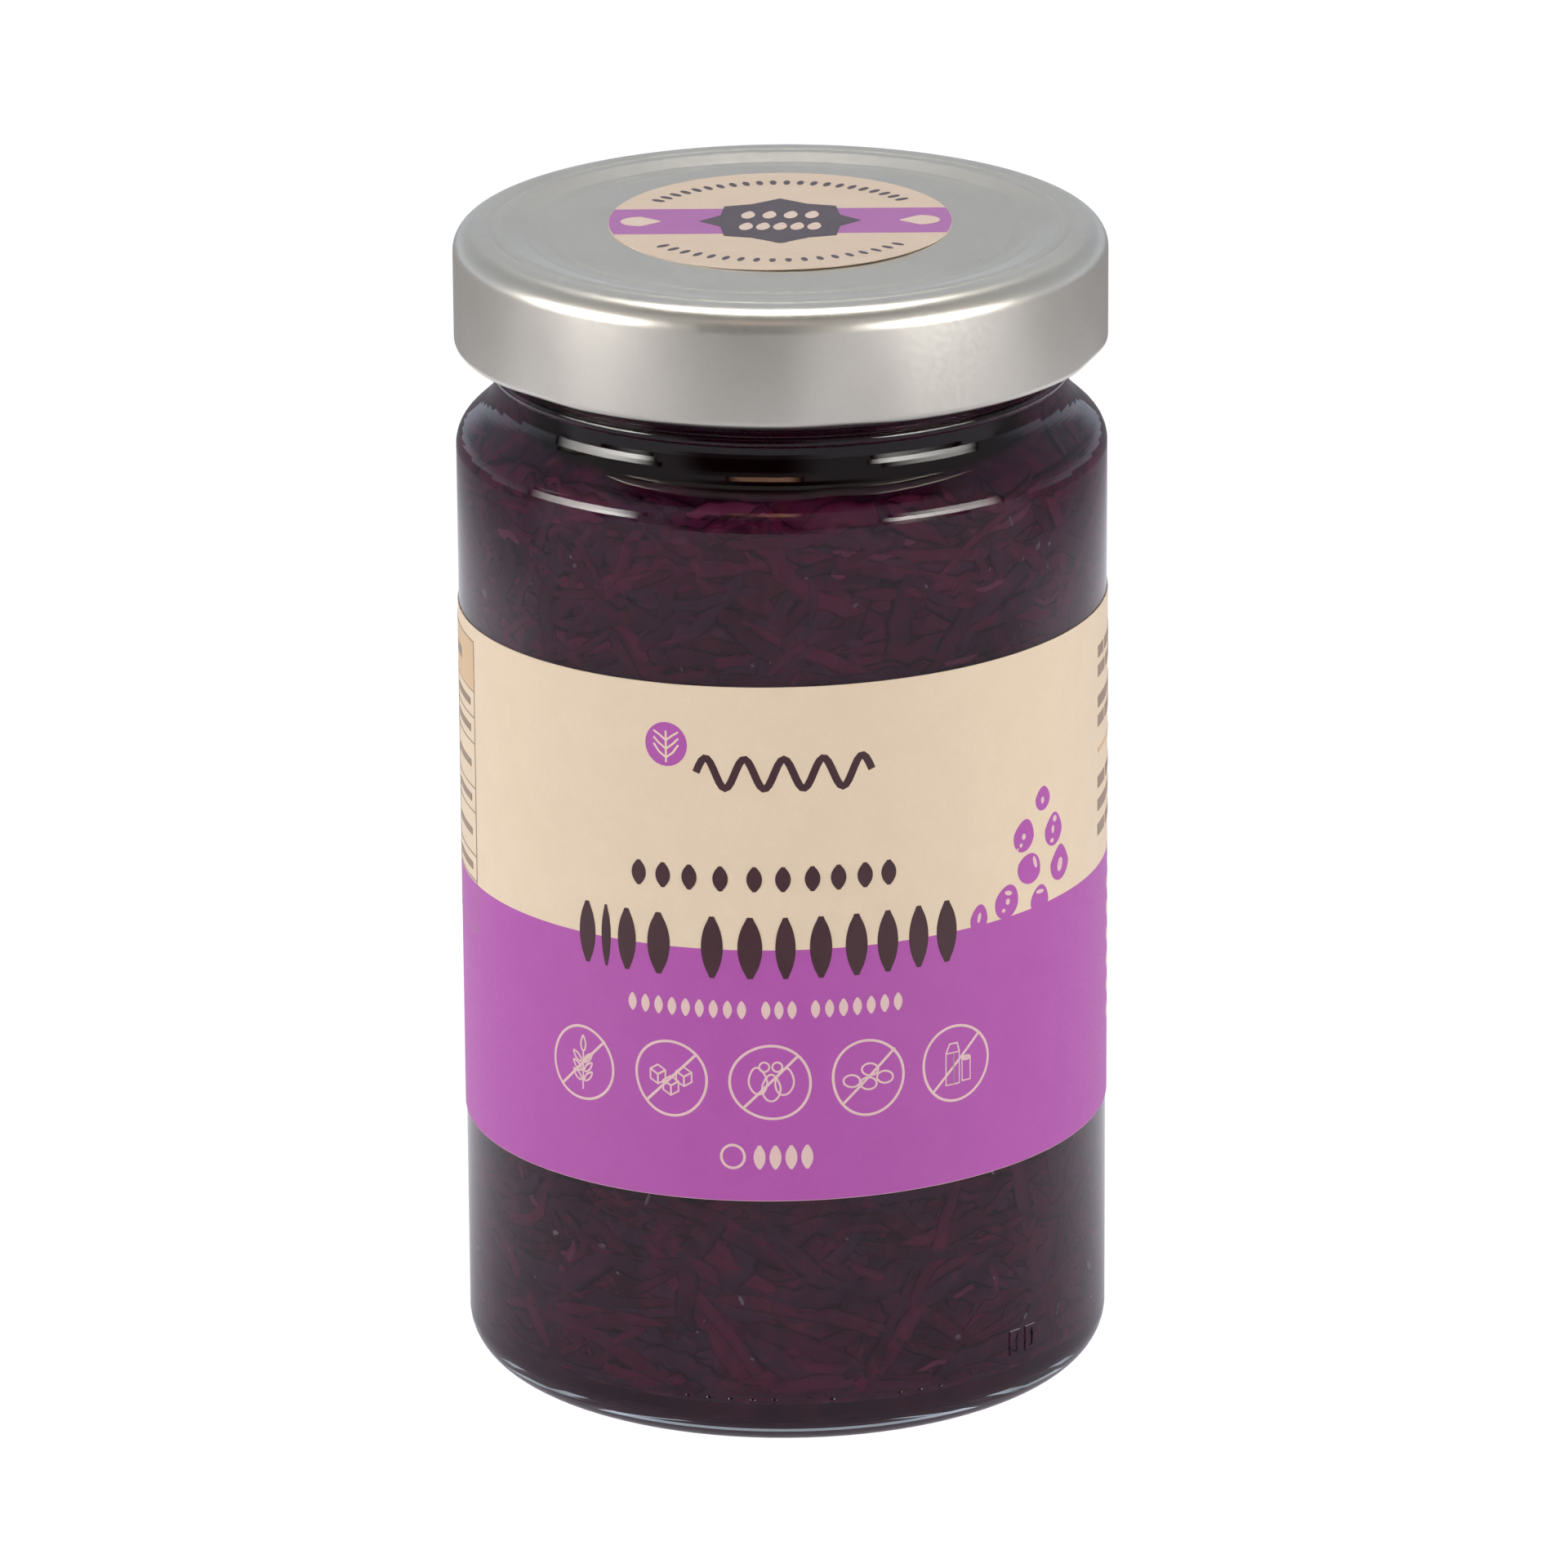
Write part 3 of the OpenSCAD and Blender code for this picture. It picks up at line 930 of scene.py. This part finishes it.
def bar_rows(rows, left, half):
    """Rows of plain bars of uneven length, from left to the end of the text column."""
    bars = []
    for row in rows:
        start = left
        while start < text_right - 3:
            length = chance.uniform(2.2, 6.0)
            bars.append(box_outline(start, min(start + length, text_right), row - half, row + half))
            start += length + 0.9
    return bars


small_bars += bar_rows((27.4, 24.9, 20.9, 18.4, 10.4, 7.4, 4.2), text_left, 0.75)
prints.append(print_shapes("small_print", small_bars, grey_ink, ink_proud))
prints.append(print_shapes("small_rule", [box_outline(text_left, 96, 14.3, 14.9)], amber_ink, ink_proud))
pale_bars = bar_rows((-5.0, -8.4, -11.8, -15.2, -18.6, -22.0), 58.6, 0.7)
prints.append(print_shapes("pale_print", pale_bars, cream_ink, ink_proud))

# the printed sheet is joined, cut fine along the wrap, bent round the jar and slanted as it was applied
only(label)
for printed in prints:
    printed.select_set(True)
bpy.ops.object.join()
bpy.ops.object.mode_set(mode="EDIT")
cut = math.ceil(-paper_reach / cut_pitch) * cut_pitch
while cut < paper_reach:
    bpy.ops.mesh.select_all(action="SELECT")
    bpy.ops.mesh.bisect(plane_co=(cut, 0, 0), plane_no=(1, 0, 0))
    cut += cut_pitch
bpy.ops.object.mode_set(mode="OBJECT")
wrap = label.modifiers.new("wrap", "SIMPLE_DEFORM")
wrap.deform_method = "BEND"
wrap.deform_axis = "Z"
wrap.angle = 2 * paper_reach / paper_radius
bpy.ops.object.modifier_apply(modifier="wrap")
points = np.array([vertex.co[:] for vertex in label.data.vertices]) * mm
points[:, 1] -= paper_radius * mm
points[:, 2] += label_middle + points[:, 0] * math.tan(label_slant)
label.data.vertices.foreach_set("co", points.ravel().astype(np.float32))
label.data.update()
only(label)
bpy.ops.object.mode_set(mode="EDIT")
bpy.ops.mesh.separate(type="MATERIAL")
bpy.ops.object.mode_set(mode="OBJECT")
label_pieces = list(bpy.context.selected_objects)
for piece in label_pieces:
    piece.name = piece.data.materials[piece.data.polygons[0].material_index].name + "_layer"
    smooth(piece, 30)
    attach(piece, "root")
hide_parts("label")


# Lid sticker: an oval paper seal stuck on the lid's sunk panel, with a purple band, a dark badge, a cream
# drop at each side and a ring of small marks. Its front edge has come up a little from the tin.

seal_half_width = 21.2
seal_half_length = 22.7
seal_back = 3.2
seal_thickness = 0.10
seal_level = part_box("lid_sticker")[0].z / mm
seal_ease = 0.01
band_layer = (0.05, 0.13)
dark_layer = (0.06, 0.15)
cream_layer = (0.07, 0.17)
seal_margin = 0.06
band_half = 5.75
band_steps = 24
drop_place = 17.2
oval_run = 10.5
cut_step = 2
corner_lift = 0.20
lift_start = 12
lift_run = 12
lift_side = 0.45

sticker_paper = paper_finish("cream_seal_paper", (0.760, 0.620, 0.500, 1), (0.715, 0.570, 0.450, 1))
sticker_purple = paper_finish("purple_seal_ink", (0.470, 0.175, 0.470, 1), (0.440, 0.160, 0.440, 1), 0.45)
sticker_dark = paper_finish("dark_seal_ink", (0.095, 0.075, 0.095, 1), (0.115, 0.092, 0.115, 1), 0.45)
sticker_cream = paper_finish("cream_seal_ink", (0.800, 0.650, 0.560, 1), (0.760, 0.600, 0.520, 1))


def lay_flat(drawing_name, outlines, finish, low, high):
    """Flat print for the seal: closed outlines in millimetres, from one height above the tin to another."""
    drawing = flat_curve(drawing_name, "2D")
    drawing.fill_mode = "BOTH"
    drawing.extrude = (high - low) / 2
    for outline in outlines:
        add_outline(drawing, outline)
    piece = bpy.data.objects.new(drawing_name, drawing)
    bpy.context.collection.objects.link(piece)
    only(piece)
    bpy.ops.object.convert(target="MESH")
    piece = bpy.context.object
    piece.data.transform(Matrix.Translation((0, 0, (low + high) / 2)))
    dress(piece, finish)
    return piece


seal_pieces = []
seal_shape = [oval_outline(0, 0, seal_half_width, seal_half_length, 0, 0, 144)]
seal = lay_flat("seal_paper", seal_shape, sticker_paper, seal_ease, seal_thickness)
seal_pieces.append(seal)
band = []
band_width = seal_half_width - seal_margin
band_length = seal_half_length - seal_margin
reach = math.asin(band_half / band_length)
for end in (0, math.pi):
    for index in range(band_steps + 1):
        angle = end - reach + 2 * reach * index / band_steps
        band.append((band_width * math.cos(angle), band_length * math.sin(angle)))
seal_pieces.append(lay_flat("seal_band", [band], sticker_purple, *band_layer))
badge_corners = ((10.0, 0), (7.4, 2.6), (6.9, 6.8), (3.4, 7.8), (0, 10.4))
badge = []
for turn_x, turn_y in ((1, 1), (-1, 1), (-1, -1), (1, -1)):
    quarter = [(x * turn_x, y * turn_y) for x, y in badge_corners]
    badge += quarter if turn_x * turn_y > 0 else quarter[::-1]
seal_pieces.append(lay_flat("seal_badge", [badge], sticker_dark, *dark_layer))
cream_seal = []
for side in (-1, 1):
    drop = []
    for x, y in oval_outline(0, 0, 2.1, 2.5, 0, 0.75, 28):
        drop.append((side * (drop_place - y), x))
    cream_seal.append(drop)
for row, count in ((2.7, 4), (-2.6, 5)):
    for index in range(count):
        middle = (index - (count - 1) / 2) * oval_run / count
        cream_seal.append(oval_outline(middle, row, 0.85, 1.7, 0.15, 0.3, 20))
seal_pieces.append(lay_flat("seal_cream", cream_seal, sticker_cream, *cream_layer))
seal_marks = []
for first, last, count, ring_radius in ((147, 33, 22, 18.0), (-38, -142, 18, 18.2)):
    for index in range(count):
        angle = math.radians(first + (last - first) * index / (count - 1))
        middle_x = ring_radius * math.cos(angle)
        middle_y = ring_radius * math.sin(angle)
        seal_marks.append(oval_outline(middle_x, middle_y, 0.42, 0.95, math.pi / 2 - angle, 0, 12))
seal_pieces.append(lay_flat("seal_marks", seal_marks, sticker_dark, *dark_layer))
only(seal)
for piece in seal_pieces:
    piece.select_set(True)
bpy.ops.object.join()
bpy.ops.object.mode_set(mode="EDIT")
for cut in range(-22, 23, cut_step):
    bpy.ops.mesh.select_all(action="SELECT")
    bpy.ops.mesh.bisect(plane_co=(0, cut, 0), plane_no=(0, 1, 0))
bpy.ops.object.mode_set(mode="OBJECT")
points = np.array([vertex.co[:] for vertex in seal.data.vertices])
lift = np.clip((-points[:, 1] + lift_side * points[:, 0] - lift_start) / lift_run, 0, 1) ** 2
points[:, 2] += seal_level + corner_lift * lift
points[:, 1] += seal_back
seal.data.vertices.foreach_set("co", (points * mm).ravel().astype(np.float32))
seal.data.update()
only(seal)
bpy.ops.object.mode_set(mode="EDIT")
bpy.ops.mesh.separate(type="MATERIAL")
bpy.ops.object.mode_set(mode="OBJECT")
for piece in list(bpy.context.selected_objects):
    piece.name = piece.data.materials[piece.data.polygons[0].material_index].name + "_layer"
    smooth(piece, 30)
    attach(piece, "root")
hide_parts("lid_sticker")


# Studio: a plain pale floor and backdrop that look white and give the jar a softer glow. Glowing panels
# stand at the left, at the right, over the back and, thin and warm, over the front. A gap in the glow in
# front keeps part of the shoulder dark.

view = bpy.context.scene.view_settings
view.view_transform = "Standard"
white = (1, 1, 1, 1)
white_strength = 1.05
floor_light = (0.98, 0.965, 1.06, 1)
light_ahead = (1.0, 0.965, 1.0, 1)
light_behind = (0.86, 0.96, 1.12, 1)
gap_depth = 0.85


def front_gap(nodes, sideways):
    """One within the gap in front, by how far to the side a place is for each step ahead of the jar."""
    return nodes.spread(sideways, -1.00, -0.55) * nodes.spread(sideways, 0.00, 0.36, 1, 0)


bpy.ops.object.select_all(action="DESELECT")
bpy.ops.mesh.primitive_plane_add(size=6, location=(0, 0, -0.02 * mm))
floor = bpy.context.object
floor.name = "floor"
floor_white, nodes = new_finish("floor_white")
spot_x = nodes.along("X")
spot_y = nodes.along("Y")
away = (spot_x * spot_x + spot_y * spot_y) ** 0.5

# dimmer under the jar, at half strength in front, and fading away far behind
near_glow = nodes.spread(away, 0.036, 0.11, 0.80, 1)
far_glow = nodes.spread(away, 0.33, 0.43, 0.80, 0.20)
glow = near_glow * nodes.blend_value(nodes.spread(spot_y, -0.05, 0.08), 0.52, far_glow)
dark_gap = front_gap(nodes, spot_x / (0 - spot_y)) * nodes.spread(spot_y, -0.52, -0.46, 1, 0)
glow = glow * (1 - dark_gap * gap_depth)
lit = nodes.node("ShaderNodeEmission", None, {"Color": floor_light, "Strength": glow})
plain = nodes.node("ShaderNodeEmission", None, {"Color": white, "Strength": white_strength})
seen = nodes.node("ShaderNodeLightPath", output="Is Camera Ray")
nodes.end(nodes.node("ShaderNodeMixShader", None, {0: seen, 1: lit, 2: plain}))
dress(floor, floor_white)

sky = bpy.data.worlds.new("studio")
bpy.context.scene.world = sky
sky.use_nodes = True
nodes = Nodes(sky.node_tree)
heading = nodes.node("ShaderNodeTexCoord", output="Generated")

# a low glow over the front that leaves the gap dark, and a brighter, cooler one behind
rise = nodes.along("Z", heading)
depth = nodes.along("Y", heading)
across = nodes.along("X", heading)
dark_sky = front_gap(nodes, across / (0 - depth)) * nodes.spread(rise, 0.50, 0.72, 1, 0)
ahead = nodes.spread(rise, 0.80, 0.88, 0.30, 0.0) * (1 - dark_sky)
back_glow = nodes.spread(rise, 0.05, 0.25, 0.62, 0.32) * nodes.spread(rise, 0.30, 1.0, 1, 0.55)
behind = nodes.spread(depth, 0.0, 0.35)
strength = ahead * (1 - behind) + back_glow * behind
tint = nodes.blend(behind, light_ahead, light_behind)
ambient = nodes.node("ShaderNodeBackground", None, {"Color": tint, "Strength": strength})
plain = nodes.node("ShaderNodeBackground", None, {"Color": white, "Strength": white_strength})
seen = nodes.node("ShaderNodeLightPath", output="Is Camera Ray")
nodes.end(nodes.node("ShaderNodeMixShader", None, {0: seen, 1: ambient, 2: plain}), "ShaderNodeOutputWorld")


aim_height = 0.07


def soft_panel(name, azimuth, elevation, distance, width, height, radiance, colour, near=1, far=1):
    """A soft light as a glowing panel turned to the jar, from one brightness share to another along it."""
    turn = math.radians(azimuth)
    tilt = math.radians(elevation)
    aim = Vector((math.sin(turn) * math.cos(tilt), -math.cos(turn) * math.cos(tilt), math.sin(tilt)))
    bpy.ops.mesh.primitive_plane_add(size=1)
    panel = bpy.context.object
    panel.name = name
    panel.scale = (width, height, 1)
    panel.rotation_euler = aim.to_track_quat("Z", "Y").to_euler()
    panel.location = aim * distance + Vector((0, 0, aim_height))
    panel.visible_camera = False
    glow_finish, nodes = new_finish(name)
    along = nodes.along("X")
    level = nodes.along("Y")
    soft = nodes.spread(along * along, 0.06, 0.25, 1, 0) * nodes.spread(level * level, 0, 0.25, 1, 0)
    share = nodes.spread(along, -0.38, 0.34, near, far)
    light = nodes.node("ShaderNodeEmission", None, {"Color": colour, "Strength": soft * share * radiance})
    nodes.end(light)
    dress(panel, glow_finish)


soft_white = (1.0, 0.975, 0.935, 1)
warm_light = (1.0, 0.52, 0.32, 1)
soft_panel("left_softbox", -74, 13, 1.2, 1.06, 0.54, 16.5, soft_white, 0.30, 1)
soft_panel("right_softbox", 58, 13, 1.2, 1.06, 0.54, 16.5, soft_white, 0.85, 0.40)
soft_panel("top_softbox", 180, 70, 1.5, 0.9, 0.9, 9.2, soft_white)
soft_panel("warm_strip", -8, 50, 1.2, 0.50, 0.05, 3, warm_light)


# Camera: a long lens about a metre and a quarter in front of the jar and half a metre up. It looks down
# at the jar from a little above the lid, and is rolled by less than half a degree.

camera_back = 1.2621
camera_height = 0.4931
camera_pitch = 18.39
camera_roll = -0.382
lens = bpy.data.cameras.new("camera")
lens.lens = 244.1
lens.sensor_width = 36
lens.clip_start = 0.05
camera = bpy.data.objects.new("camera", lens)
bpy.context.collection.objects.link(camera)
camera.location = (0, -camera_back, camera_height)
aim = Euler((math.radians(90 - camera_pitch), 0, 0)).to_matrix().to_4x4()
camera.rotation_euler = (aim @ Matrix.Rotation(math.radians(camera_roll), 4, "Z")).to_euler()
bpy.context.scene.camera = camera
